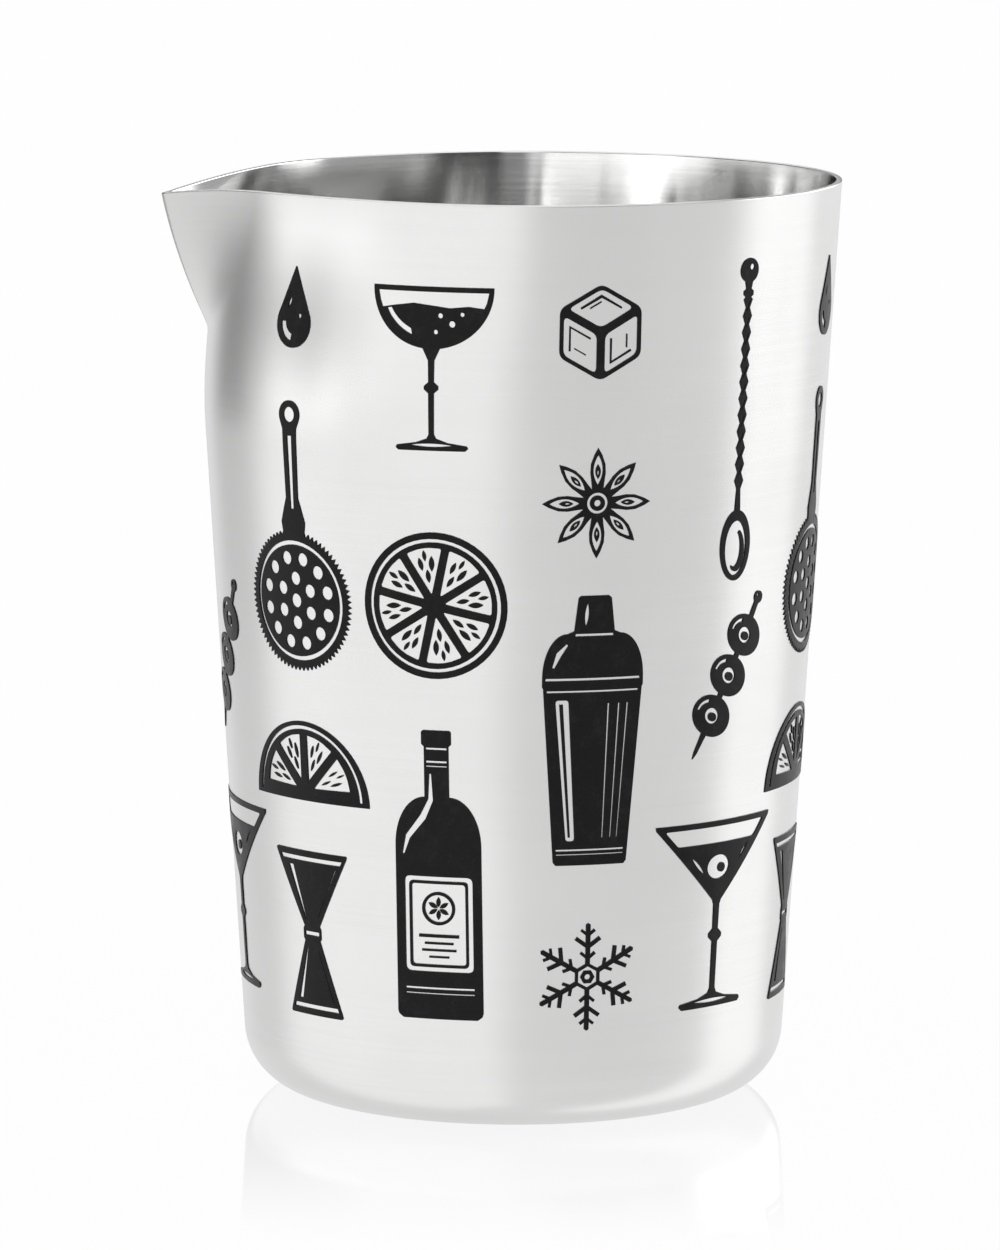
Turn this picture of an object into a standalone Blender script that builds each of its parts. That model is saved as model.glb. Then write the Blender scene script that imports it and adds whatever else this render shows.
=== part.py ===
# Cocktail mixing tin: a tapered steel cup drawn in one piece, with a pouring spout pressed into
# its rim, and a pattern of separate black enamel marks fired onto the outside of its wall.
# Metres, +Z up. The origin is the middle of the flat base, and the spout points along -X.

import math

import bmesh
import bpy

MM = 0.001

# Cup
MOUTH_RADIUS = 45.0 * MM
FOOT_RADIUS = 37.1 * MM  # where the straight wall would meet the table
HEIGHT = 127.0 * MM
CORNER_RADIUS = 8.8 * MM
WALL = 0.8 * MM
COLUMNS = 72
CORNER_STEPS = 6
ROW_PITCH = 3.0 * MM  # between the rows of the wall that the spout bends

# Pressed spout; a turn is measured from its middle
SPOUT_AZIMUTH = math.pi
SPOUT_REACH = 48.9 * MM  # from the cup's axis to the tip
KEEL_SLOPE = 0.182
KEEL_CURVE = 0.0059 / MM  # the keel curves in towards its foot
TIP_DROP = 2.3 * MM
DROP_TURN = math.radians(50.0)
DROP_BEND = 2.6
DROP_ENDS = 19.0 * MM  # below the rim
DENT = 3.6 * MM  # the press draws the rim in on both sides of the spout
DENT_FULL_TO = math.radians(50.0)
DENT_TURN = math.radians(98.0)
PRESS_ENDS = 34.0 * MM  # below the rim

# Enamel marks
ENAMEL_GAP = 0.08 * MM
ENAMEL_THICK = 0.16 * MM
SCORE_PITCH = 3.0 * MM  # a flat mark is scored this often before it is bent round the wall
MARK_COLUMNS = 12
BARE_ABOVE = 90.0 * MM  # beside the spout no mark reaches higher than this
BARE_SPAN = math.radians(40.0)

# Columns of marks in turn round the wall: drawing, height, middle above the base, tilt in degrees
PATTERN = (
    (
        ("bottle", 40 * MM, 36 * MM, 0),
        ("citrus_wheel", 20 * MM, 73 * MM, 10),
        ("coupe", 22 * MM, 105 * MM, 0),
    ),
    (
        ("snowflake", 15 * MM, 22 * MM, 0),
        ("shaker", 37 * MM, 56 * MM, 0),
        ("star_anise", 15 * MM, 87 * MM, 0),
        ("ice_cube", 13 * MM, 110 * MM, 0),
    ),
    (
        ("martini", 26 * MM, 29 * MM, 0),
        ("olive_pick", 25 * MM, 62 * MM, -28),
        ("bar_spoon", 44 * MM, 97 * MM, 0),
    ),
    (
        ("jigger", 23 * MM, 26 * MM, 0),
        ("citrus_wedge", 11 * MM, 50 * MM, 0),
        ("strainer", 37 * MM, 81 * MM, 0),
        ("droplet", 11 * MM, 112 * MM, 0),
    ),
)

TAPER = math.atan2(MOUTH_RADIUS - FOOT_RADIUS, HEIGHT)


def wall_radius(height):
    return FOOT_RADIUS + height * math.tan(TAPER)


def smooth_step(value, low, high):
    share = min(max((value - low) / (high - low), 0.0), 1.0)
    return share * share * (3.0 - 2.0 * share)


def principled(name, colour, roughness, metallic):
    material = bpy.data.materials.new(name)
    material.use_nodes = True
    shader = material.node_tree.nodes["Principled BSDF"]
    shader.inputs["Base Color"].default_value = (*colour, 1.0)
    shader.inputs["Roughness"].default_value = roughness
    shader.inputs["Metallic"].default_value = metallic
    return material


def add_object(name, data, collection):
    piece = bpy.data.objects.new(name, data)
    collection.objects.link(piece)
    return piece


def take_mesh(piece):
    # The evaluated shape as a plain mesh; the piece it came from is removed.
    graph = bpy.context.evaluated_depsgraph_get()
    mesh = bpy.data.meshes.new_from_object(piece.evaluated_get(graph))
    bpy.data.objects.remove(piece)
    return mesh


# The cup


def cup_profile():
    # The outer line, from the lip down to the middle of the base.
    rows = math.ceil(PRESS_ENDS / ROW_PITCH) + 1
    heights = [HEIGHT - row * ROW_PITCH for row in range(rows)]
    points = [(wall_radius(height), height) for height in heights]
    corner_x = FOOT_RADIUS - CORNER_RADIUS * (1.0 - math.sin(TAPER)) / math.cos(TAPER)
    for step in range(CORNER_STEPS + 1):
        turn = -TAPER - (math.pi / 2 - TAPER) * step / CORNER_STEPS
        points.append((corner_x + CORNER_RADIUS * math.cos(turn), CORNER_RADIUS * (1.0 + math.sin(turn))))
    points.append((0.0, 0.0))
    return points


def from_spout(azimuth):
    return math.remainder(azimuth - SPOUT_AZIMUTH, math.tau)


def pressed_wall(turn, height):
    # How far the press moves the wall out from the round, and how far it lowers it.
    aside = abs(turn)
    below = min(HEIGHT - height, PRESS_ENDS)
    round_wall = wall_radius(HEIGHT - below)
    dent = DENT * (1.0 - smooth_step(below, 0.0, PRESS_ENDS))
    reach = round_wall - dent * (1.0 - smooth_step(aside, DENT_FULL_TO, DENT_TURN))
    # Flat flanks run back from the keel to where they touch the wall.
    keel = SPOUT_REACH - below * (KEEL_SLOPE + below * KEEL_CURVE)
    touch = math.acos(min((round_wall - dent) / keel, 1.0))
    if aside < touch:
        reach = (round_wall - dent) / math.cos(touch - aside)
    drop = TIP_DROP * max(1.0 - aside / DROP_TURN, 0.0) ** DROP_BEND * max(1.0 - below / DROP_ENDS, 0.0)
    return reach - round_wall, drop


def make_cup(collection, steel):
    profile = bpy.data.meshes.new("cup_profile")
    points = [(radius, 0.0, height) for radius, height in cup_profile()]
    profile.from_pydata(points, [(i, i + 1) for i in range(len(points) - 1)], [])
    turned = add_object("cup_turned", profile, collection)
    screw = turned.modifiers.new("turn", "SCREW")
    screw.steps = COLUMNS
    screw.render_steps = COLUMNS
    screw.use_merge_vertices = True
    screw.merge_threshold = 0.00001
    wall = take_mesh(turned)

    for vertex in wall.vertices:
        height = vertex.co.z
        if height < HEIGHT - PRESS_ENDS:
            continue
        azimuth = math.atan2(vertex.co.y, vertex.co.x)
        moved, drop = pressed_wall(from_spout(azimuth), height)
        reach = wall_radius(height) + moved
        vertex.co = (reach * math.cos(azimuth), reach * math.sin(azimuth), height - drop)

    wall.shade_smooth()
    wall.materials.append(steel)
    cup = add_object("tin_body", wall, collection)
    shell = cup.modifiers.new("wall", "SOLIDIFY")
    shell.thickness = WALL
    shell.offset = -1.0
    shell.use_even_offset = True


# Drawings of the marks: an outline and its clear cells, one unit high about its own middle


def polar(radius, degrees, centre=(0.0, 0.0)):
    turn = math.radians(degrees)
    return centre[0] + radius * math.cos(turn), centre[1] + radius * math.sin(turn)


def arc(centre, radius, start, end, steps):
    return [polar(radius, start + (end - start) * i / steps, centre) for i in range(steps + 1)]


def disc(centre, radius, steps):
    return arc(centre, radius, 0.0, 360.0, steps)[:-1]


def bow(centre, wide, high, start, end, steps):
    # Part of an ellipse, with the angle measured from straight up towards +X.
    turns = [math.radians(start + (end - start) * i / steps) for i in range(steps + 1)]
    return [(centre[0] + wide * math.sin(t), centre[1] + high * math.cos(t)) for t in turns]


def band(top, top_half, bottom, bottom_half):
    return [(-top_half, top), (top_half, top), (bottom_half, bottom), (-bottom_half, bottom)]


def both_sides(half):
    # Half runs down the right-hand edge, from the middle line back to it.
    return half + [(-x, y) for x, y in reversed(half) if x > 1e-9]


def citrus_wheel():
    cells = []
    for middle in range(0, 360, 45):
        cells.append([polar(0.1, middle)] + arc((0.0, 0.0), 0.39, middle - 16, middle + 16, 2))
    return disc((0.0, 0.0), 0.5, 24), cells


def citrus_wedge():
    heart = (0.0, -0.42)
    cells = []
    for middle in range(24, 180, 44):
        cells.append([polar(0.16, middle, heart)] + arc(heart, 0.74, middle - 15, middle + 15, 2))
    return arc((0.0, -0.5), 1.0, 0.0, 180.0, 16), cells


def ice_cube():
    corners = [polar(0.5, 90 + 60 * corner) for corner in range(6)]
    cells = []
    for first in (1, 3, 5):
        face = [(0.0, 0.0)] + [corners[(first + step) % 6] for step in range(3)]
        middle = [sum(along) / 4 for along in zip(*face)]
        cells.append([[m + 0.7 * (p - m) for m, p in zip(middle, point)] for point in face])
    return corners, cells


def snowflake():
    side = [(0.11, 0.04), (0.2, 0.04), (0.29, 0.15), (0.34, 0.11), (0.28, 0.04), (0.5, 0.04)]
    arm = [(x, -y) for x, y in side] + side[::-1]
    outline = []
    for degrees in range(30, 390, 60):
        across = math.sin(math.radians(degrees))
        along = math.cos(math.radians(degrees))
        outline += [(x * along - y * across, x * across + y * along) for x, y in arm]
    return outline, [disc((0.0, 0.0), 0.055, 6)]


def star_anise():
    outline = []
    seeds = []
    for middle in range(0, 360, 45):
        outline += [polar(0.15, middle - 22.5), polar(0.3, middle - 13)]
        outline += [polar(0.5, middle), polar(0.3, middle + 13)]
        seeds.append([polar(0.2, middle), polar(0.29, middle + 6)])
        seeds[-1] += [polar(0.38, middle), polar(0.29, middle - 6)]
    return outline, seeds


def droplet():
    middle = (0.0, -0.2)
    radius = 0.3
    tangent = math.degrees(math.acos(radius / (0.5 - middle[1])))
    outline = [(0.0, 0.5)] + arc(middle, radius, 90 + tangent, 450 - tangent, 16)
    glint = arc(middle, 0.2, 185, 265, 4) + arc(middle, 0.12, 265, 185, 4)
    return outline, [glint]


def stemmed(bowl):
    foot = [(0.024, 0.05), (0.024, -0.42), (0.2, -0.46), (0.22, -0.5), (0.0, -0.5)]
    return both_sides([(0.0, 0.5)] + bowl + foot)


def coupe():
    return stemmed(bow((0.0, 0.5), 0.4, -0.38, 90, 8, 8)), [band(0.463, 0.365, 0.36, 0.335)]


def martini():
    olive = disc((0.03, 0.27), 0.05, 8)
    return stemmed([(0.43, 0.5), (0.42, 0.465)]), [band(0.462, 0.355, 0.37, 0.27), olive]


def bottle():
    neck = [(0.0, 0.5), (0.05, 0.5), (0.05, 0.44), (0.042, 0.43)]
    shoulder = bow((0.042, 0.1), 0.108, 0.17, 0, 90, 5)
    heel = [(0.15, -0.48), (0.13, -0.5), (0.0, -0.5)]
    return both_sides(neck + shoulder + heel), [band(-0.02, 0.115, -0.32, 0.115)]


def shaker():
    cap = [(0.0, 0.5), (0.06, 0.5), (0.075, 0.37)]
    dome = bow((0.1, 0.2), 0.09, 0.16, 0, 90, 4)
    glint = [(-0.13, 0.1), (-0.09, 0.1), (-0.06, -0.4), (-0.09, -0.4)]
    joints = [band(0.345, 0.08, 0.32, 0.09), band(0.185, 0.16, 0.16, 0.16)]
    return both_sides(cap + dome + [(0.135, -0.5), (0.0, -0.5)]), joints + [glint]


def jigger():
    half = [(0.0, 0.5), (0.3, 0.5), (0.06, 0.03), (0.06, -0.03), (0.22, -0.5), (0.0, -0.5)]
    return both_sides(half), [band(0.45, 0.235, 0.39, 0.205), band(-0.39, 0.14, -0.45, 0.16)]


def bar_spoon():
    button = arc((0.0, 0.46), 0.04, 90, -70, 5)
    twist = [(0.012 + 0.008 * (turn % 2), 0.36 - 0.06 * turn) for turn in range(10)]
    bowl = bow((0.0, -0.39), 0.065, 0.11, 12, 180, 8)
    return both_sides(button + twist + bowl), [bow((0.0, -0.4), 0.035, 0.07, 0, 324, 9)]


def strainer():
    handle = arc((0.0, 0.45), 0.05, 90, 0, 3)
    bowl = arc((0.0, -0.24), 0.26, 80, -90, 11)
    holes = [disc(polar(0.14, degrees, (0.0, -0.24)), 0.044, 6) for degrees in range(0, 360, 60)]
    return both_sides(handle + bowl), holes + [disc((0.0, -0.24), 0.044, 6), disc((0.0, 0.44), 0.022, 6)]


def olive_pick():
    half = arc((0.0, 0.465), 0.035, 90, -65, 4)
    stones = []
    for middle in (0.24, 0.0, -0.24):
        half += bow((0.0, middle), 0.14, 0.112, 7, 173, 6)
        stones.append(disc((0.0, middle), 0.04, 6))
    return both_sides(half + [(0.015, -0.4), (0.0, -0.5)]), stones


DRAWINGS = {
    drawing.__name__: drawing
    for drawing in (
        citrus_wheel, citrus_wedge, ice_cube, snowflake, star_anise, droplet, coupe,
        martini, bottle, shaker, jigger, bar_spoon, strainer, olive_pick,
    )
}


def on_score(edge, axis):
    steps = [vertex.co[axis] / SCORE_PITCH for vertex in edge.verts]
    return abs(steps[0] - steps[1]) < 1e-3 and abs(steps[0] - round(steps[0])) < 1e-3


def flat_mark(drawing, size, tilt, score_axes):
    # The drawing as a flat plate, scored at even steps across X, or X and Y, so that it can bend.
    outline, cells = drawing()
    curve = bpy.data.curves.new("mark_outline", "CURVE")
    curve.dimensions = "2D"
    curve.fill_mode = "BOTH"
    curve.extrude = ENAMEL_THICK / 2
    lean = math.radians(tilt)
    for loop in [outline] + cells:
        spline = curve.splines.new("POLY")
        spline.points.add(len(loop) - 1)
        spline.use_cyclic_u = True
        for point, (x, y) in zip(spline.points, loop):
            turned_x = x * math.cos(lean) - y * math.sin(lean)
            turned_y = x * math.sin(lean) + y * math.cos(lean)
            point.co = (turned_x * size, turned_y * size, 0.0, 1.0)
    mesh = take_mesh(add_object("mark_outline", curve, bpy.context.scene.collection))

    plate = bmesh.new()
    plate.from_mesh(mesh)
    bmesh.ops.remove_doubles(plate, verts=plate.verts, dist=0.002 * MM)
    reach = math.ceil(size / SCORE_PITCH)
    for axis in range(score_axes):
        across = [float(axis == other) for other in range(3)]
        for step in range(-reach, reach + 1):
            everything = plate.verts[:] + plate.edges[:] + plate.faces[:]
            score = [part * step * SCORE_PITCH for part in across]
            bmesh.ops.bisect_plane(plate, geom=everything, dist=0.001 * MM, plane_co=score, plane_no=across)
    inner = [edge for edge in plate.edges if not any(on_score(edge, axis) for axis in range(score_axes))]
    bmesh.ops.dissolve_limit(plate, angle_limit=math.radians(1.0), verts=[], edges=inner, delimit=set())
    bmesh.ops.triangulate(plate, faces=plate.faces)
    bmesh.ops.recalc_face_normals(plate, faces=plate.faces)
    plate.to_mesh(mesh)
    plate.free()
    return mesh


def make_mark(name, drawing, size, middle, tilt, azimuth, collection, enamel):
    pressed = abs(from_spout(azimuth)) < DENT_TURN and middle + size / 2 > HEIGHT - PRESS_ENDS
    mesh = flat_mark(DRAWINGS[drawing], size, tilt, 2 if pressed else 1)
    for vertex in mesh.vertices:
        height = middle + vertex.co.y * math.cos(TAPER)
        turn = azimuth + vertex.co.x / wall_radius(height)
        radius = wall_radius(height) + pressed_wall(from_spout(turn), height)[0]
        radius += ENAMEL_GAP + ENAMEL_THICK / 2 + vertex.co.z
        vertex.co = (radius * math.cos(turn), radius * math.sin(turn), height)
    mesh.materials.append(enamel)
    add_object(name, mesh, collection)


def make_marks(collection, enamel):
    made = {}
    for column in range(MARK_COLUMNS):
        azimuth = math.tau * (column + 0.5) / MARK_COLUMNS
        by_spout = abs(from_spout(azimuth)) < BARE_SPAN
        for drawing, size, middle, tilt in PATTERN[column % len(PATTERN)]:
            if by_spout and middle + size / 2 > BARE_ABOVE:
                continue
            made[drawing] = made.get(drawing, 0) + 1
            name = f"mark_{drawing}_{made[drawing]}"
            make_mark(name, drawing, size, middle, tilt, azimuth, collection, enamel)


def main():
    for leftover in list(bpy.data.objects):
        bpy.data.objects.remove(leftover)
    collection = bpy.data.collections.new("cocktail_mixing_tin")
    bpy.context.scene.collection.children.link(collection)
    make_cup(collection, principled("satin_steel", (0.72, 0.72, 0.71), 0.32, 1.0))
    make_marks(collection, principled("black_enamel", (0.012, 0.012, 0.013), 0.35, 0.0))


main()
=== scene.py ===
import math

import bmesh
import bpy
from mathutils import Matrix, Vector


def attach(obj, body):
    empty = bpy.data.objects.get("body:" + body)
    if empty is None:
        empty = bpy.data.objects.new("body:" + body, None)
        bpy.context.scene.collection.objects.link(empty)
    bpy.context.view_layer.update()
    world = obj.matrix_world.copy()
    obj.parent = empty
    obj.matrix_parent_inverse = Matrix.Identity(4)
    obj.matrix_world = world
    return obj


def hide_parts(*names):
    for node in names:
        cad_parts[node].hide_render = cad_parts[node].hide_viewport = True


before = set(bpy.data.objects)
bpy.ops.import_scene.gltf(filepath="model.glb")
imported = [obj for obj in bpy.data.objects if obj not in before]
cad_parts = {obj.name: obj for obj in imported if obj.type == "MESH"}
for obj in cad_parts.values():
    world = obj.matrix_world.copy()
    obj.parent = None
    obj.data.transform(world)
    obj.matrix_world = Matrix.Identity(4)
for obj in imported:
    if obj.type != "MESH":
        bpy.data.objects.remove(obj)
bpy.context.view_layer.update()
scene = bpy.context.scene
print("frame loaded,", len(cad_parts), "nodes")


class Wire:
    # one value inside a node tree; arithmetic on it adds Math nodes
    def __init__(self, board, socket):
        self.board = board
        self.socket = socket

    def math(self, operation, *others):
        values = dict(enumerate((self,) + others))
        return self.board.wire("ShaderNodeMath", {"operation": operation}, values)

    def __add__(self, other):
        return self.math("ADD", other)

    def __sub__(self, other):
        return self.math("SUBTRACT", other)

    def __rsub__(self, other):
        return (self * -1.0) + other

    def __mul__(self, other):
        return self.math("MULTIPLY", other)

    def __truediv__(self, other):
        return self.math("DIVIDE", other)

    def __pow__(self, other):
        return self.math("POWER", other)

    def __abs__(self):
        return self.math("ABSOLUTE")

    __radd__ = __add__
    __rmul__ = __mul__


class Board:
    # a node tree and the one way that nodes are put on it
    def __init__(self, tree):
        self.tree = tree

    def add(self, kind, settings=None, sockets=None):
        node = self.tree.nodes.new(kind)
        for name, value in (settings or {}).items():
            setattr(node, name, value)
        for name, value in (sockets or {}).items():
            if isinstance(value, Wire):
                value = value.socket
            if isinstance(value, bpy.types.NodeSocket):
                self.tree.links.new(value, node.inputs[name])
            else:
                node.inputs[name].default_value = value
        return node

    def wire(self, kind, settings=None, sockets=None, output=0):
        return Wire(self, self.add(kind, settings, sockets).outputs[output])

    def step(self, value, low, high):
        # 0 below low, 1 above high, smooth between them
        ends = {"Value": value, "From Min": low, "From Max": high}
        return self.wire("ShaderNodeMapRange", {"interpolation_type": "SMOOTHSTEP"}, ends)

    def vector(self, x, y, z):
        kind = "ShaderNodeCombineXYZ"
        return self.wire(kind, None, {"X": x, "Y": y, "Z": z})

    def split(self, vector):
        node = self.add("ShaderNodeSeparateXYZ", None, {0: vector})
        return [Wire(self, output) for output in node.outputs]

    def noise(self, vector, scale, detail=2.0, roughness=0.5):
        sockets = {"Vector": vector, "Scale": scale, "Detail": detail, "Roughness": roughness}
        return self.wire("ShaderNodeTexNoise", None, sockets)

    def mixColour(self, factor, first, second):
        settings = {"data_type": "RGBA"}
        return self.wire("ShaderNodeMix", settings, {0: factor, 6: first, 7: second}, 2)


def newShapeTree(name, sizes):
    # a geometry tree with one named input for each size
    tree = bpy.data.node_groups.new(name, "GeometryNodeTree")
    face = tree.interface
    face.new_socket("Geometry", in_out="OUTPUT", socket_type="NodeSocketGeometry")
    face.new_socket("Geometry", in_out="INPUT", socket_type="NodeSocketGeometry")
    for label, value in sizes.items():
        kind = "Int" if isinstance(value, int) else "Float" if isinstance(value, float) else "Object"
        face.new_socket(label, in_out="INPUT", socket_type="NodeSocket" + kind)
    board = Board(tree)
    source = board.add("NodeGroupInput")
    wires = {label: Wire(board, source.outputs[label]) for label in sizes}
    return board, source.outputs["Geometry"], wires


def runShapeTree(name, mesh, tree, sizes, finishes=()):
    maker = bpy.data.objects.new(name + ".maker", mesh)
    scene.collection.objects.link(maker)
    modifier = maker.modifiers.new("shape", "NODES")
    modifier.node_group = tree
    for item in tree.interface.items_tree:
        if item.in_out == "INPUT" and item.name in sizes:
            modifier[item.identifier] = sizes[item.name]
    for kind, settings in finishes:
        finish = maker.modifiers.new(kind.lower(), kind)
        for label, value in settings.items():
            setattr(finish, label, value)
    graph = bpy.context.evaluated_depsgraph_get()
    made = bpy.data.meshes.new_from_object(maker.evaluated_get(graph))
    bpy.data.objects.remove(maker)
    piece = bpy.data.objects.new(name, made)
    scene.collection.objects.link(piece)
    return piece


def newMaterial(name):
    material = bpy.data.materials.new(name)
    material.use_nodes = True
    material.node_tree.nodes.clear()
    return material, Board(material.node_tree)


def finishMaterial(board, shader):
    board.add("ShaderNodeOutputMaterial", None, {"Surface": shader.outputs[0]})


# Steel: drawn and satin brushed round the axis, so its lines run along the rows of the turned mesh
brushing = {
    "fineShare": 0.7, "broadShare": 0.3, "broadRun": 0.6, "broadScale": 0.17, "cloudScale": 46.0,
    "toneFrom": 0.3, "toneTo": 0.7, "roughByLines": 0.55, "depth": 0.00002, "turned": 0.25,
    "pressedX": -0.040, "plainX": -0.034,  # between these the spout's flanks run out into the round wall
}
outsideSteel = {
    "tone": (0.80, 0.80, 0.795), "toneSpread": 0.03, "cloud": 0.55, "roughness": 0.25, "roughSpread": 0.05,
    "lineScale": 5200.0, "lineRun": 26.0, "bump": 0.014, "stretch": 0.50, "burnish": 0.0,
}
insideSteel = {
    "tone": (0.86, 0.86, 0.855), "toneSpread": 0.08, "cloud": 0.15, "roughness": 0.13, "roughSpread": 0.02,
    "lineScale": 2600.0, "lineRun": 34.0, "bump": 0.015, "stretch": 0.80, "burnish": 0.6,
}


def toned(look, share):
    return tuple(min(part * share, 1.0) for part in look["tone"]) + (1.0,)


def makeSteel(name, look):
    material, board = newMaterial(name)
    place = board.wire("ShaderNodeTexCoord", None, None, "Object")
    along = board.wire("ShaderNodeAttribute", {"attribute_name": "along"}, None, "Fac")
    x, y = board.split(place)[:2]
    run, scale = look["lineRun"], look["lineScale"]
    broadRun, broadScale = run * brushing["broadRun"], scale * brushing["broadScale"]
    fine = board.vector(x * run, y * run, along * scale)
    broad = board.vector(x * broadRun, y * broadRun, along * broadScale)
    lines = board.noise(fine, scale=1.0, detail=3.0, roughness=0.65)
    bands = board.noise(broad, scale=1.0, detail=2.0, roughness=0.5)
    clouds = board.noise(place, brushing["cloudScale"], detail=3.0, roughness=0.55)
    brushed = lines * brushing["fineShare"] + bands * brushing["broadShare"]
    grain = brushed * (1.0 - look["cloud"]) + clouds * look["cloud"]
    tone = board.step(grain, brushing["toneFrom"], brushing["toneTo"])
    spread = look["toneSpread"]
    colour = board.mixColour(tone, toned(look, 1.0 - spread), toned(look, 1.0 + spread))
    byLines = brushing["roughByLines"]
    uneven = lines * byLines + clouds * (1.0 - byLines) - 0.5
    roughness = uneven * (look["roughSpread"] * 2.0) + look["roughness"]
    # the press that draws the spout leaves its flanks smoother
    pressed = 1.0 - board.step(x, brushing["pressedX"], brushing["plainX"])
    roughness = roughness * (1.0 - pressed * look["burnish"])
    bump = board.wire("ShaderNodeBump", None, {
        "Strength": look["bump"], "Distance": brushing["depth"], "Height": brushed,
    })
    shader = board.add("ShaderNodeBsdfPrincipled", None, {
        "Base Color": colour, "Metallic": 1.0, "Roughness": roughness, "Normal": bump,
        "Anisotropic": look["stretch"], "Anisotropic Rotation": brushing["turned"],
    })
    finishMaterial(board, shader)
    return material


# Black enamel: a satin film with a slight flow and pinholes of lighter wear
enamelLook = {
    "black": (0.006, 0.006, 0.0065, 1.0), "worn": (0.014, 0.014, 0.0145, 1.0),
    "flowScale": 420.0, "speckScale": 2600.0, "wearByFlow": 0.6, "wearFrom": 0.46, "wearTo": 0.70,
    "roughness": 0.34, "roughByFlow": 0.3, "roughBySpeck": 0.15,
    "bump": 0.25, "bumpByFlow": 0.7, "depth": 0.00004, "specular": 0.15,
}


def makeEnamel():
    material, board = newMaterial("blackEnamel")
    place = board.wire("ShaderNodeTexCoord", None, None, "Object")
    flow = board.noise(place, enamelLook["flowScale"], detail=3.0, roughness=0.6)
    speck = board.noise(place, enamelLook["speckScale"], detail=2.0, roughness=0.6)

    def mixed(byFlow):
        return flow * byFlow + speck * (1.0 - byFlow)

    wear = board.step(mixed(enamelLook["wearByFlow"]), enamelLook["wearFrom"], enamelLook["wearTo"])
    colour = board.mixColour(wear, enamelLook["black"], enamelLook["worn"])
    uneven = (flow - 0.5) * enamelLook["roughByFlow"] + (speck - 0.5) * enamelLook["roughBySpeck"]
    bump = board.wire("ShaderNodeBump", None, {
        "Strength": enamelLook["bump"], "Distance": enamelLook["depth"],
        "Height": mixed(enamelLook["bumpByFlow"]),
    })
    shader = board.add("ShaderNodeBsdfPrincipled", None, {
        "Base Color": colour, "Roughness": uneven + enamelLook["roughness"], "Normal": bump,
        "Specular IOR Level": enamelLook["specular"],
    })
    finishMaterial(board, shader)
    return material


steelOutside = makeSteel("satinSteel", outsideSteel)
steelInside = makeSteel("brushedSteel", insideSteel)
enamel = makeEnamel()
print("materials made")


# The tin: one line turned round the axis as a sheet, pressed by rule, and then given its thickness
tin = {
    "mouthRadius": 0.0450, "footRadius": 0.0371, "height": 0.1270,
    "cornerRadius": 0.0088, "wall": 0.0008, "lipRound": 0.00013,
    "baseRows": 6, "cornerRows": 16, "plainRows": 26, "pressedRows": 44, "lipSteps": 3, "lipOver": 75.0,
}
joinWithin = 0.000001  # points closer than this become one
spout = {
    "Columns": 360, "Height": tin["height"], "Foot Radius": tin["footRadius"],
    "Flare": (tin["mouthRadius"] - tin["footRadius"]) / tin["height"],
    "Reach": 0.0489, "Keel Slope": 0.182, "Keel Curve": 5.9,  # the keel curves in towards its foot
    "Tip Drop": 0.0023, "Drop Turn": math.radians(50.0), "Drop Bend": 2.6, "Drop Ends": 0.019,
    "Dent": 0.0036, "Press Ends": 0.034,  # the rim is drawn in on both sides
    "Dent Full To": math.radians(50.0), "Dent Turn": math.radians(98.0),
}
taper = math.atan(spout["Flare"])


def wallRadius(height):
    return tin["footRadius"] + height * spout["Flare"]


def evenly(first, last, count):
    return [first + (last - first) * i / (count - 1) for i in range(count)]


def tinLine():
    # (radius, height) from the middle of the base up the outside to the lip
    corner = tin["cornerRadius"]
    cornerTop = corner * (1.0 - math.sin(taper))
    cornerX = tin["footRadius"] - cornerTop / math.cos(taper)
    turns = evenly(-math.pi / 2, -taper, tin["cornerRows"])
    pressFrom = tin["height"] - spout["Press Ends"]
    plain = evenly(cornerTop, pressFrom, tin["plainRows"])[1:]
    pressed = evenly(pressFrom, tin["height"] - 2.0 * tin["lipRound"], tin["pressedRows"])[1:]
    line = [(cornerX * i / tin["baseRows"], 0.0) for i in range(tin["baseRows"])]
    line += [(cornerX + corner * math.cos(t), corner * (1.0 + math.sin(t))) for t in turns]
    return line + [(wallRadius(height), height) for height in plain + pressed + [tin["height"]]]


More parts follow.
